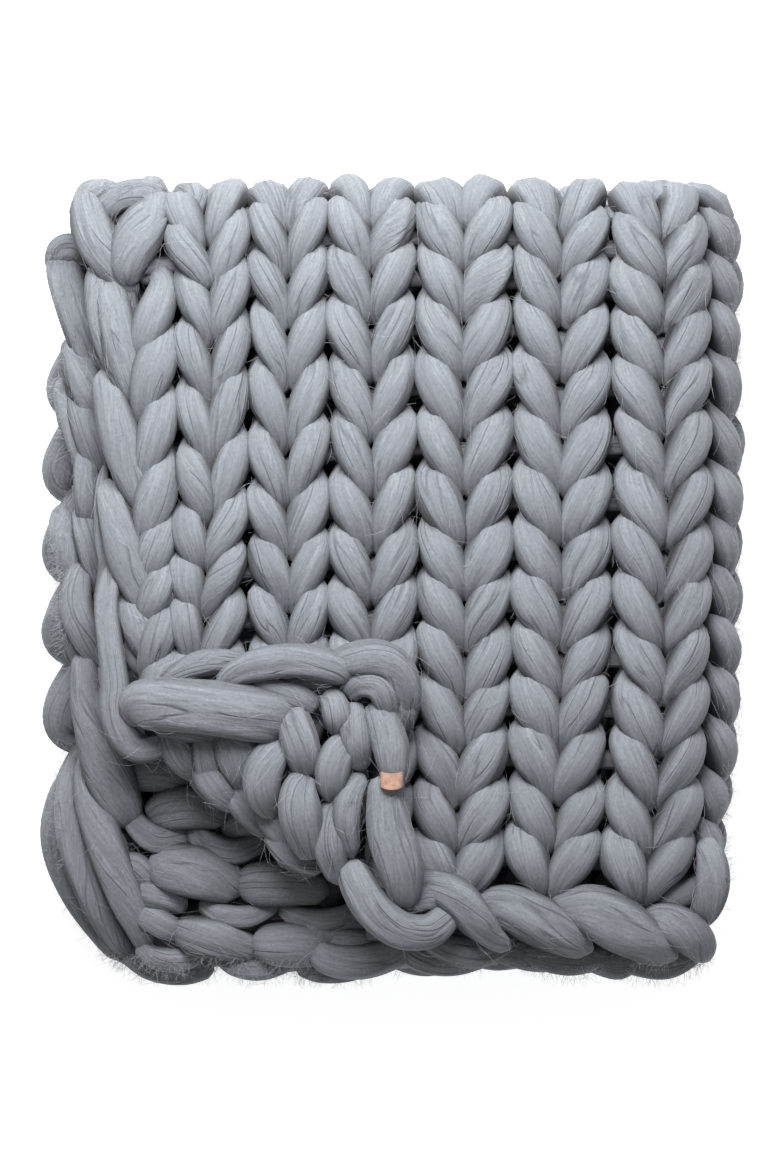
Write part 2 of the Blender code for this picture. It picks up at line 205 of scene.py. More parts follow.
def splineThrough(table, count):
    # smooth curve through the table's points; evenly counted places along it
    table = np.asarray(table, float)
    n = len(table)
    s = np.linspace(0.0, n - 1.0, count)
    i = np.minimum(s.astype(int), n - 2)
    f = (s - i)[:, None]
    p = np.concatenate((2 * table[:1] - table[1:2], table, 2 * table[-1:] - table[-2:-1]))
    p0, p1, p2, p3 = p[i], p[i + 1], p[i + 2], p[i + 3]
    return 0.5 * (2 * p1 + (p2 - p0) * f + (2 * p0 - 5 * p1 + 4 * p2 - p3) * f ** 2
                  + (3 * p1 - p0 - 3 * p2 + p3) * f ** 3)


def tubePoints(centre, normal, wide, thick, sides, turn=0.0, twistRate=0.0):
    # ring k is centre + side*wide*cos(a) + up*thick*sin(a), square to the strand's run; wide and
    # thick are half sizes in metres, turn twists the oval about the strand. Each radius swells
    # and sinks by a few waves round and along it, and long dents wander over its upper side.
    # The sides are a little fuller than a circle's, so neighbours meet in a deep line. Grain is the
    # run and the place round the strand, turned by the twist; outside is 1 on top and -1 below
    shape = strandShape
    along = unit(np.gradient(centre, axis=0))
    across = unit(np.cross(along, normal))
    up = np.cross(across, along)
    run = np.concatenate(([0.0], np.cumsum(np.linalg.norm(np.diff(centre, axis=0), axis=1))))[:, None]
    angle = np.linspace(0.0, 2 * math.pi, sides, endpoint=False)[None, :]
    phase = rng.uniform(0, 2 * math.pi, 6)
    swell = 1
    for (lobes, depth, length), shift in zip(shape["waves"], phase):
        swell = swell + depth * np.sin(lobes * angle + shift + run / length)
    for k, place in enumerate(shape["dents"]):
        where = math.pi / 2 + place + shape["wander"] * np.sin(run / shape["wanderRun"] + phase[3 + k])
        here = np.clip(np.sin(run / shape["dentRun"] + phase[5 - k] * 2) + shape["dentShare"], 0, 1)
        swell = swell - shape["dentDepth"] * here * np.exp(-((angle - where) / shape["dentWidth"]) ** 2)
    turn = np.broadcast_to(turn, len(centre))[:, None]
    round1, round2 = np.cos(angle), np.sin(angle)
    flat = wide[:, None] * np.sign(round1) * np.abs(round1) ** shape["fullness"] * swell
    tall = thick[:, None] * np.sign(round2) * np.abs(round2) ** shape["fullness"] * swell
    sideways = flat * np.cos(turn) - tall * np.sin(turn)
    upwards = flat * np.sin(turn) + tall * np.cos(turn)
    points = centre[:, None] + across[:, None] * sideways[..., None] + up[:, None] * upwards[..., None]
    step = np.diff(run[:, 0], prepend=0.0)
    swing = shape["grainSwing"] * np.sin(run / shape["swingRun"] + phase[3])
    turned = angle + np.cumsum(twistRate * step)[:, None] + swing
    girth = shape["girth"]
    grain = np.stack((run + 0 * angle, girth * np.cos(turned), girth * np.sin(turned)), axis=-1)
    return points, grain, np.broadcast_to(round2, points.shape[:2])


def addObject(name, data):
    obj = bpy.data.objects.new(name, data)
    bpy.context.collection.objects.link(obj)
    return obj


def addMesh(name, points, faces, material, **attributes):
    # an object of points and arrays of faces, and in each attribute a value or vector for every point
    loops = np.concatenate([f.ravel() for f in faces]).astype(np.int32)
    sizes = np.concatenate([np.full(len(f), f.shape[1]) for f in faces])
    starts = np.concatenate(([0], np.cumsum(sizes)[:-1])).astype(np.int32)
    mesh = bpy.data.meshes.new(name)
    mesh.vertices.add(len(points))
    mesh.vertices.foreach_set("co", points.astype(np.float32).ravel())
    mesh.loops.add(len(loops))
    mesh.loops.foreach_set("vertex_index", loops)
    mesh.polygons.add(len(sizes))
    mesh.polygons.foreach_set("loop_start", starts)
    mesh.update(calc_edges=True)
    mesh.polygons.foreach_set("use_smooth", np.ones(len(sizes), bool))
    for label, values in attributes.items():
        kind, field = ("FLOAT_VECTOR", "vector") if values.ndim == 2 else ("FLOAT", "value")
        layer = mesh.attributes.new(label, kind, "POINT")
        layer.data.foreach_set(field, values.astype(np.float32).ravel())
    mesh.validate()
    mesh.materials.append(material)
    print(name, "triangles", sum(len(f) * (f.shape[1] - 2) for f in faces))
    return addObject(name, mesh)


class strandBundle:
    # gathers strands of any length and puts them in one mesh, each closed by a point at both ends
    def __init__(self):
        self.points, self.grain, self.outside, self.faces, self.anchors = [], [], [], [], []
        self.count = 0

    def add(self, points, grain, outside, seed):
        # the seed shifts the grain along, so no two strands have the same streaks
        rings, sides = points.shape[:2]
        ends = np.stack((points[0].mean(axis=0), points[-1].mean(axis=0)))
        endGrain = np.stack((grain[0].mean(axis=0), grain[-1].mean(axis=0)))
        shift = np.array([seed * strandShape["seedStep"], 0.0, 0.0])
        k = np.arange(rings * sides).reshape(rings, sides) + self.count
        after = np.roll(k, -1, axis=1)
        quads = np.stack((k[:-1], k[1:], after[1:], after[:-1]), axis=-1).reshape(-1, 4)
        first, last = self.count + rings * sides, self.count + rings * sides + 1
        capA = np.stack((np.full(sides, first), k[0], after[0]), axis=-1)
        capB = np.stack((np.full(sides, last), after[-1], k[-1]), axis=-1)
        self.points += [points.reshape(-1, 3), ends]
        self.grain += [grain.reshape(-1, 3) + shift, endGrain + shift]
        self.outside += [outside.ravel(), np.zeros(2)]
        along = np.gradient(points, axis=0)
        away = points - points.mean(axis=1, keepdims=True)
        upper = outside > strandShape["hairSide"]
        self.anchors.append(np.stack((points[upper], along[upper], away[upper]), axis=1))
        self.faces += [quads, capA, capB]
        self.count += rings * sides + 2

    def build(self, name, material):
        points = np.concatenate(self.points)
        points[:, 2] = np.maximum(points[:, 2], strandShape["overFloor"])
        reach = np.maximum(np.abs(points[:, 0]) / cadHigh[0], np.abs(points[:, 1]) / cadHigh[1])
        # the pile's outline and its high parts, the turned corner among them, count as outside, so the
        # painted shade is lifted there and they come out lighter
        outside = np.maximum(np.concatenate(self.outside), smoothStep(reach, *strandShape["edgeShown"]))
        high = strandShape["heightShare"] * smoothStep(points[:, 2], *strandShape["heightShown"])
        return addMesh(name, points, self.faces, material, grain=np.concatenate(self.grain),
                       outside=np.maximum(outside, high))


def clothStrand(u, v, w, wide, thick, sides, turn=0.0, purlUp=False, twistRate=0.0):
    # a strand whose centre line is given in cloth places, with narrow ends; with the purl side
    # up, so is its outside
    centre, step = clothPoint(u, v, w), strandShape["normalStep"]
    normal = unit(clothPoint(u, v, w + step) - clothPoint(u, v, w - step))
    taper = np.ones(len(u))
    for k, share in enumerate(strandShape["ends"]):
        taper[[k, -1 - k]] = share
    outside = -normal if purlUp else normal
    return tubePoints(centre, outside, wide * taper, thick * taper, sides, turn, twistRate)


# one stitch: the strand comes up through the loop below, leans out as a leg,
# and goes back behind the loop above; u is 0 to 0.5 from the wale's edge to its middle

stitch = {
    #            u      v      w mm   wide mm  thick mm
    "sinker":   (0.00, -0.93,  -8.5,   7.0,   7.0),
    "underFoot": (0.21, -0.88, -8.5,   7.6,   7.6),
    "foot":     (0.40, -0.74,  -3.0,   8.4,   8.6),
    "legLow":   (0.378, -0.42,  4.6,  11.4,  11.4),
    "leg":      (0.268, -0.02,  8.0,  15.0,  13.4),
    "legHigh":  (0.172, 0.35,   5.2,  13.4,  12.4),
    "neck":     (0.160, 0.58,  -2.2,  10.2,   9.6),
    "underHead": (0.25,  0.80, -8.5,   9.4,   8.0),
    "head":     (0.50,  0.88, -10.5,  11.5,   7.5),
}
rowMiddles = [0.62, 1.45, 2.36, 3.26, 4.17, 5.09, 6.02, 6.95, 7.90, 8.93, 9.95, 10.90, 11.72, 12.45,
              13.30, 14.25, 15.27, 16.32, 17.38, 18.44, 19.50, 20.57, 21.64, 22.71, 23.78, 24.85]
rowStretch = np.clip(np.gradient(np.array(rowMiddles)), 0.84, 1.05)
twistedLegs = {(12, 3, 1): 55.0, (11, 4, 1): 60.0, (8, 1, 0): -40.0, (6, 1, 1): 50.0}  # row, wale, leg
rowSags = (
    # wale, reach, rows, and the rows between which it comes and goes
    (0.0, 1.7, 0.64, 4.8, 7.6, 12.7, 14.0),
    (6.3, 0.9, 0.26, 8.5, 11.4, 12.6, 14.0))
foldPress = {"depth": 0.0065, "rows": (12.0, 12.7, 13.2, 14.0)}  # the top fold presses stitches in
variety = {
    "place": (0.016, 0.05, 1.1), "size": (0.055, 0.05), "most": 1.8,  # wales, rows, mm; shares
    "legs": (6.0, 6.0),  # the height in mm of what may vary, and its reach
}


def rowDip(u, v):
    # how far the rows sag: all down the left side, and near the top fold at the right
    return sum(rows * between(v, *stations) * np.exp(-((u - wale) / reach) ** 2)
               for wale, reach, rows, *stations in rowSags)


waleMiddles = np.arange(16) + 0.5
# six wales on the top layer, three round the fold and seven on the lower layers
waleWidths = np.concatenate((np.diff(cloth["topWaleX"]), np.full(3, 0.070), np.full(7, 0.0618)))


def stitchRow(row, firstWale, lastWale, rings, firstStation):
    # one row's strand: the half stitch and its mirror image, wale after wale, with small
    # differences in fullness, lean and height that come from the seeded generator
    half = np.array(list(stitch.values()))
    other = half[-2:0:-1].copy()
    other[:, 0] = 1.0 - other[:, 0]
    whole = np.concatenate((half, other))
    count = lastWale - firstWale
    table = np.concatenate([whole + [i + firstWale, 0, 0, 0, 0] for i in range(count)])
    final = half[:1].copy()
    final[:, 0] = lastWale
    table = np.concatenate((table, final))[firstStation:]
    middle, reach = variety["legs"]
    legs = np.exp(-((table[:, 2:3] - middle) / reach) ** 2)
    waleHere = np.floor(np.clip(table[:, 0], firstWale, lastWale - 0.001)).astype(int)
    halfHere = (table[:, 0] - waleHere > 0.5).astype(int)
    drawn = rng.normal(size=(40, 2, 6))[waleHere, halfHere]
    j = np.clip(drawn, -variety["most"], variety["most"])
    table[:, :3] += np.array(variety["place"]) * j[:, :3] * legs
    table[:, 3:] *= 1 + np.array(variety["size"]) * j[:, 3:5] * legs
    waleWidth = np.interp(table[:, 0], waleMiddles, waleWidths)
    table[:, 3] *= np.clip(waleWidth / cloth["waleStep"], 0.80, 1.05)
    twist = np.array([twistedLegs.get((row, wale, leg), 0.0) for wale, leg in zip(waleHere, halfHere)])
    line = splineThrough(np.column_stack((table, twist)), int((len(table) - 1) / len(whole) * rings) + 1)
    u, v = line[:, 0], line[:, 1] * rowStretch[row] + rowMiddles[row]
    w, wide, thick = line[:, 2:5].T / 1000
    w = w - foldPress["depth"] * between(v, *foldPress["rows"])
    return u, v - rowDip(u, v), w, wide, thick, line[:, 5]


# looks


def fillSockets(tree, node, sockets):
    # each socket is given a value, or joined to the output of another node
    for label, source in sockets:
        if isinstance(source, bpy.types.NodeSocket):
            tree.links.new(source, node.inputs[label])
        else:
            node.inputs[label].default_value = source


def addNode(tree, kind, sockets=(), **settings):
    node = tree.nodes.new(kind)
    for key, value in settings.items():
        setattr(node, key, value)
    fillSockets(tree, node, sockets)
    return node


def mathNode(tree, operation, *sources):
    return addNode(tree, "ShaderNodeMath", enumerate(sources), operation=operation).outputs[0]


def rangeNode(tree, source, fromLow, fromHigh, toLow=0.0, toHigh=1.0):
    sockets = enumerate((source, fromLow, fromHigh, toLow, toHigh))
    return addNode(tree, "ShaderNodeMapRange", sockets).outputs[0]


def mixColour(tree, share, first, second):
    sockets = ((0, share), (6, first), (7, second))
    return addNode(tree, "ShaderNodeMix", sockets, data_type="RGBA").outputs[2]


def noiseNode(tree, vector, scale, detail=2.0, roughness=0.5):
    sockets = (("Vector", vector), ("Scale", scale), ("Detail", detail), ("Roughness", roughness))
    return addNode(tree, "ShaderNodeTexNoise", sockets)


def bumpNode(tree, height, strength, distance):
    sockets = (("Height", height), ("Strength", strength), ("Distance", distance))
    return addNode(tree, "ShaderNodeBump", sockets).outputs[0]


def readAttribute(tree, name, kind="Fac"):
    return addNode(tree, "ShaderNodeAttribute", attribute_name=name).outputs[kind]


def objectPlace(tree):
    return addNode(tree, "ShaderNodeTexCoord").outputs["Object"]


def newMaterial(name):
    material = bpy.data.materials.new(name)
    material.use_nodes = True
    return material, material.node_tree, material.node_tree.nodes["Principled BSDF"]


wool = {
    "light": (0.256, 0.275, 0.303, 1.0), "dark": (0.158, 0.170, 0.190, 1.0),
    # the two colours on the next line are painted shade: the first for the creases, the second for hidden
    # strand sides and crevices
    "crease": (0.075, 0.081, 0.092, 1.0), "paintedUnderShade": (0.014, 0.015, 0.018, 1.0),
    "streaks": (
        # width, stretch, warp, slant, detail
        (900.0, 0.045, 0.0008, 0.06, 2.0),   # fine fibres
        (720.0, 0.045, 0.0012, -0.14, 2.0),  # fibres that cross them
        (170.0, 0.06, 0.0020, 0.0, 2.0),     # tone
        (95.0, 0.12, 0.0006, 0.0, 0.6),      # creases
        (60.0, 0.45, 0.0, 0.0, 0.0)),        # where the creases are
    "wave": 45.0, "mottle": 420.0, "mottleShare": 0.3,
    "fibreContrast": (0.38, 0.62), "toneContrast": (0.40, 0.60, 0.40, 0.0),
    "creaseHalfWidth": 0.026, "creaseHere": (0.44, 0.56), "creaseShare": 0.50,
    "paintedShadeShare": (0.78, 0.05, 0.0, 0.96),  # outside values from shown to hidden, and the share of painted shade there
    "relief": (0.8, 0.9, 0.6, 0.0012),  # fibres, creases, strength, metres
    "surface": (("Roughness", 0.92), ("Specular IOR Level", 0.12), ("Sheen Weight", 0.12),
                ("Sheen Roughness", 0.5)),
}


def fibreGroup():
    # long streaks that run along the strand: noise read on the strand's own places, pushed about
    # by a slow noise, shortened along the strand and slanted round it
    group = bpy.data.node_groups.new("fibreStreaks", "ShaderNodeTree")
    for label, value in (("Width", 500.0), ("Stretch", 0.04), ("Warp", 0.002), ("Slant", 0.0),
                         ("Detail", 3.0)):
        socket = group.interface.new_socket(label, in_out="INPUT", socket_type="NodeSocketFloat")
        socket.default_value = value
    group.interface.new_socket("Streak", in_out="OUTPUT", socket_type="NodeSocketFloat")
    given = group.nodes.new("NodeGroupInput").outputs
    place = readAttribute(group, "grain", "Vector")
    wave = noiseNode(group, place, wool["wave"]).outputs["Color"]
    centred = addNode(group, "ShaderNodeVectorMath", ((0, wave), (1, (0.5, 0.5, 0.5))), operation="SUBTRACT")
    push = addNode(group, "ShaderNodeVectorMath", ((0, centred.outputs[0]), (3, given["Warp"])),
                   operation="SCALE")
    moved = addNode(group, "ShaderNodeVectorMath", ((0, place), (1, push.outputs[0])), operation="ADD")
    along, round1, round2 = addNode(group, "ShaderNodeSeparateXYZ", ((0, moved.outputs[0]),)).outputs
    short = mathNode(group, "MULTIPLY", along, given["Stretch"])
    lean = mathNode(group, "MULTIPLY_ADD", along, given["Slant"], round1)
    joined = addNode(group, "ShaderNodeCombineXYZ", enumerate((short, lean, round2))).outputs[0]
    streak = noiseNode(group, joined, given["Width"], given["Detail"], 0.6).outputs["Fac"]
    fillSockets(group, group.nodes.new("NodeGroupOutput"), (("Streak", streak),))
    return group


fibreStreaks = fibreGroup()


def woolMaterial(name):
    material, tree, shader = newMaterial(name)
    fine, crossing, tone, broad, fade = (
        addNode(tree, "ShaderNodeGroup", enumerate(values), node_tree=fibreStreaks).outputs["Streak"]
        for values in wool["streaks"])
    mottle = noiseNode(tree, objectPlace(tree), wool["mottle"], 3.0).outputs["Fac"]
    # creases: thin lines where the broad streaks cross their middle value, there only in places; they dent
    # the bump, and their darker colour is painted shade
    offMiddle = mathNode(tree, "ABSOLUTE", mathNode(tree, "SUBTRACT", broad, 0.5))
    line = rangeNode(tree, offMiddle, 0.0, wool["creaseHalfWidth"], 1.0, 0.0)
    crease = mathNode(tree, "MULTIPLY", line, rangeNode(tree, fade, *wool["creaseHere"]))
    fibres = mathNode(tree, "MULTIPLY", mathNode(tree, "ADD", fine, crossing), 0.5)
    fibres = mathNode(tree, "ADD", mathNode(tree, "MULTIPLY", fibres, 1 - wool["mottleShare"]),
                      mathNode(tree, "MULTIPLY", mottle, wool["mottleShare"]))
    body = mixColour(tree, rangeNode(tree, fibres, *wool["fibreContrast"]), wool["dark"], wool["light"])
    shade = mixColour(tree, rangeNode(tree, tone, *wool["toneContrast"]), body, wool["dark"])
    # painted shade: along the crease lines the colour is darkened towards a dark colour, standing in for the
    # shade in their grooves
    lined = mixColour(tree, mathNode(tree, "MULTIPLY", crease, wool["creaseShare"]), shade, wool["crease"])
    # painted shade: where outside is low, on the strands' sides, undersides and end caps, the colour is
    # darkened towards a near-black, standing in for the shade in the crevices
    paintedShadeShare = rangeNode(tree, readAttribute(tree, "outside"), *wool["paintedShadeShare"])
    fibreRelief, creaseRelief, strength, distance = wool["relief"]
    height = mathNode(tree, "SUBTRACT", mathNode(tree, "MULTIPLY", fibres, fibreRelief),
                      mathNode(tree, "MULTIPLY", crease, creaseRelief))
    height = mathNode(tree, "ADD", height, tone)
    fillSockets(tree, shader, (("Base Color", mixColour(tree, paintedShadeShare, lined, wool["paintedUnderShade"])),
                               ("Normal", bumpNode(tree, height, strength, distance)), *wool["surface"]))
    return material


woolKnit = woolMaterial("woolKnit")
fibreAnchors = []


def finishWool(name, bundle, hairy=True):
    # builds and declares one piece of strands, and keeps the places where loose fibres may start
    obj = bundle.build(name, woolKnit)
    if hairy:
        fibreAnchors.append(np.concatenate(bundle.anchors))
    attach(obj, "root")
    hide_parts("throw_knit")


# rows of stitches, piece by piece

rowPlan = {
    # rows, wales, rings a wale, sides, and how far past the crease a row may begin
    "stitches_top_lower": (range(0, 7), (0, 9), 44, 26, 0.012),
    "stitches_top_upper": (range(7, 13), (0, 9), 44, 26, 0.012),
    "stitches_second_layer": (range(13, 26), (0, 9), 30, 20, 0.020),
    "stitches_third_layer": (range(13, 26), (9, 16), 26, 18, None),
    "stitches_bottom_layer": (range(0, 13), (9, 16), 26, 18, None),
}


def firstShownWale(row, limit):
    # where a row's strand begins: the corner past the crease has strands of its own
    u = np.arange(0, 9)
    x, y = flatPlace(u + 0.5, np.full(9, rowMiddles[row]))
    return int(np.argmax(creaseDistance(x, y) < limit))


def makeStitches():
    for name, (rows, (first, last), rings, sides, limit) in rowPlan.items():
        bundle = strandBundle()
        for row in rows:
            start = first if limit is None else max(firstShownWale(row, limit), 1 if row == 12 else 0)
            skipped = 0 if start >= 9 else 2 if row == 12 else 8  # stations left out at the edge
            strand = stitchRow(row, start, last, rings, skipped)
            if last == 16:  # the last half stitch is the selvedge's
                strand = [part[strand[0] < 15.5] for part in strand]
            purlUp = name == "stitches_second_layer" and row > 14
            points = clothStrand(*strand[:5], sides, purlUp=purlUp, twistRate=strand[5])
            bundle.add(*points, seed=row + first * 7)
        finishWool(name, bundle, hairy=name.startswith("stitches_top"))


makeStitches()
print("stitches made")

# selvedge: long slanting lobes, two to every three rows, that turn round the edge

selvedge = {
    "everyRows": 1.45, "rings": 34, "sides": 20, "past": 0.75, "most": 1.5,
    "variety": (0.02, 0.04, 0.06, 0.05), "turn": 0.25,
    "path": (
        #  u      v      w mm  wide  thick
        (0.66, -1.00, -6.0,  9.0,  8.0),
        (0.52, -0.85,  0.0, 12.0, 10.0),
        (0.38, -0.50,  5.0, 15.0, 12.0),
        (0.22, -0.05,  7.5, 16.5, 13.0),
        (0.08,  0.35,  5.5, 16.0, 13.5),
        (0.01,  0.68,  0.0, 15.0, 14.0),
        (0.06,  0.92, -6.0, 14.0, 12.5),
        (0.26,  1.05, -9.0, 12.0, 10.0),
        (0.50,  1.10, -9.0, 10.0,  9.0)),
}


def loosened(path, values):
    # the line of a path whose u is moved and whose v, width and thickness are scaled by seeded draws
    table = np.array(path)
    j = np.clip(rng.normal(size=6), -values["most"], values["most"])
    move, *shares = values["variety"]
    table[:, 0] += move * j[0]
    for column, share, draw in zip((1, 3, 4), shares, j[1:]):
        table[:, column] *= 1 + share * draw
    line = splineThrough(table, values["rings"])
    return line[:, 0], line[:, 1], line[:, 2:5].T / 1000, j[4]


def makeSelvedge(name):
    bundle, past = strandBundle(), selvedge["past"]
    count = int(rowsEnd / selvedge["everyRows"])
    for k in range(count):
        u, v, sizes, draw = loosened(selvedge["path"], selvedge)
        v = np.clip(v + (k + 0.5) * rowsEnd / count, -past, rowsEnd + past)
        turn = selvedge["turn"] * draw * np.sin(np.linspace(0, math.pi, len(u)))
        bundle.add(*clothStrand(cloth["wales"] - u, v, *sizes, selvedge["sides"], turn), seed=108 + k)
    finishWool(name, bundle)


makeSelvedge("selvedge_lower_layers")

# cast-off and cast-on edges: a braid, one slanting lobe a stitch over a flatter back strand

braid = {
    "rings": 30, "sides": 20, "past": 0.05, "most": 1.5, "variety": (0.03, 0.05, 0.06),
    "front": (
        #  u      v      w mm  wide  thick
        (-0.22, -0.30, -4.0,  9.0,  8.0),
        (-0.05, -0.14,  3.0, 13.5, 11.0),
        (0.25, -0.22,  8.0,  17.0, 13.0),
        (0.62, -0.44,  8.0,  17.0, 13.0),
        (0.95, -0.64,  3.5,  13.5, 11.0),
        (1.15, -0.72, -3.0,  9.5,  9.0)),
    "back": (
        (-0.10, -0.50, -3.0,  9.0,  8.0),
        (0.15, -0.72, -7.0,  12.0,  9.0),
        (0.50, -0.78, -9.0,  13.0,  8.5),
        (0.85, -0.66, -8.5,  12.0,  8.5),
        (1.05, -0.45, -7.0,  9.0,  8.0)),
}


def makeBraid(name, farEnd, firstWale, lastWale, purlUp=False):
    bundle, past = strandBundle(), braid["past"]
    for wale in range(firstWale, lastWale):
        for part in ("back", "front"):
            u, v, sizes, draw = loosened(braid[part], braid)
            u = np.clip(u + wale, -past, cloth["wales"] + past)
            v = rowsEnd - v if farEnd else v
            bundle.add(*clothStrand(u, v, *sizes, braid["sides"], purlUp=purlUp), seed=90 + wale)
    finishWool(name, bundle, hairy=False)


makeBraid("cast_off_braid_fold", False, 7, 9)
makeBraid("cast_off_braid_bottom", False, 9, 16)
makeBraid("cast_on_braid_second", True, 3, 9, True)
makeBraid("cast_on_braid_third", True, 9, 16)
print("edges made")

# single strands laid one by one: x and y in view units of 0.75 mm, counted from the left and from the top of
# the view at the pile's mean height, then height in mm and half width in units

view = {"cameraHeight": 3.0, "distance": 2.925, "unit": 0.00075, "middle": (392.5, 578.0)}
laid = {"widthUnit": 0.00074, "flatness": 0.72, "thickest": 0.0145, "endSlope": 10, "endShare": 0.10}


def viewPlace(x, y, height):
    scale = view["unit"] * (view["cameraHeight"] - height) / view["distance"]
    return (x - view["middle"][0]) * scale, (view["middle"][1] - y) * scale


def makeLaid(name, strands, rings, sides, twist):
    # the grain of neighbouring strands twists in turn one way and the other, twist radians a metre
    bundle = strandBundle()
    place = np.linspace(0, 1, rings)
    taper = np.clip(np.minimum(place, 1 - place) * laid["endSlope"] + laid["endShare"], 0, 1) ** 0.5
    upwards = np.tile(np.array([0.0, 0.0, 1.0]), (rings, 1))
    for k, points in enumerate(strands.values()):
        x, y, height, wide = np.array(points, float).T
        x, y = viewPlace(x, y, height / 1000)
        line = splineThrough(np.stack((x, y, height / 1000, wide * laid["widthUnit"]), axis=1), rings)
        wide = line[:, 3] * taper
        thick = np.minimum(wide * laid["flatness"], laid["thickest"])
        twistRate = twist if k % 2 else -twist
        bundle.add(*tubePoints(line[:, :3], upwards, wide, thick, sides, twistRate=twistRate), seed=200 + k)
    finishWool(name, bundle)


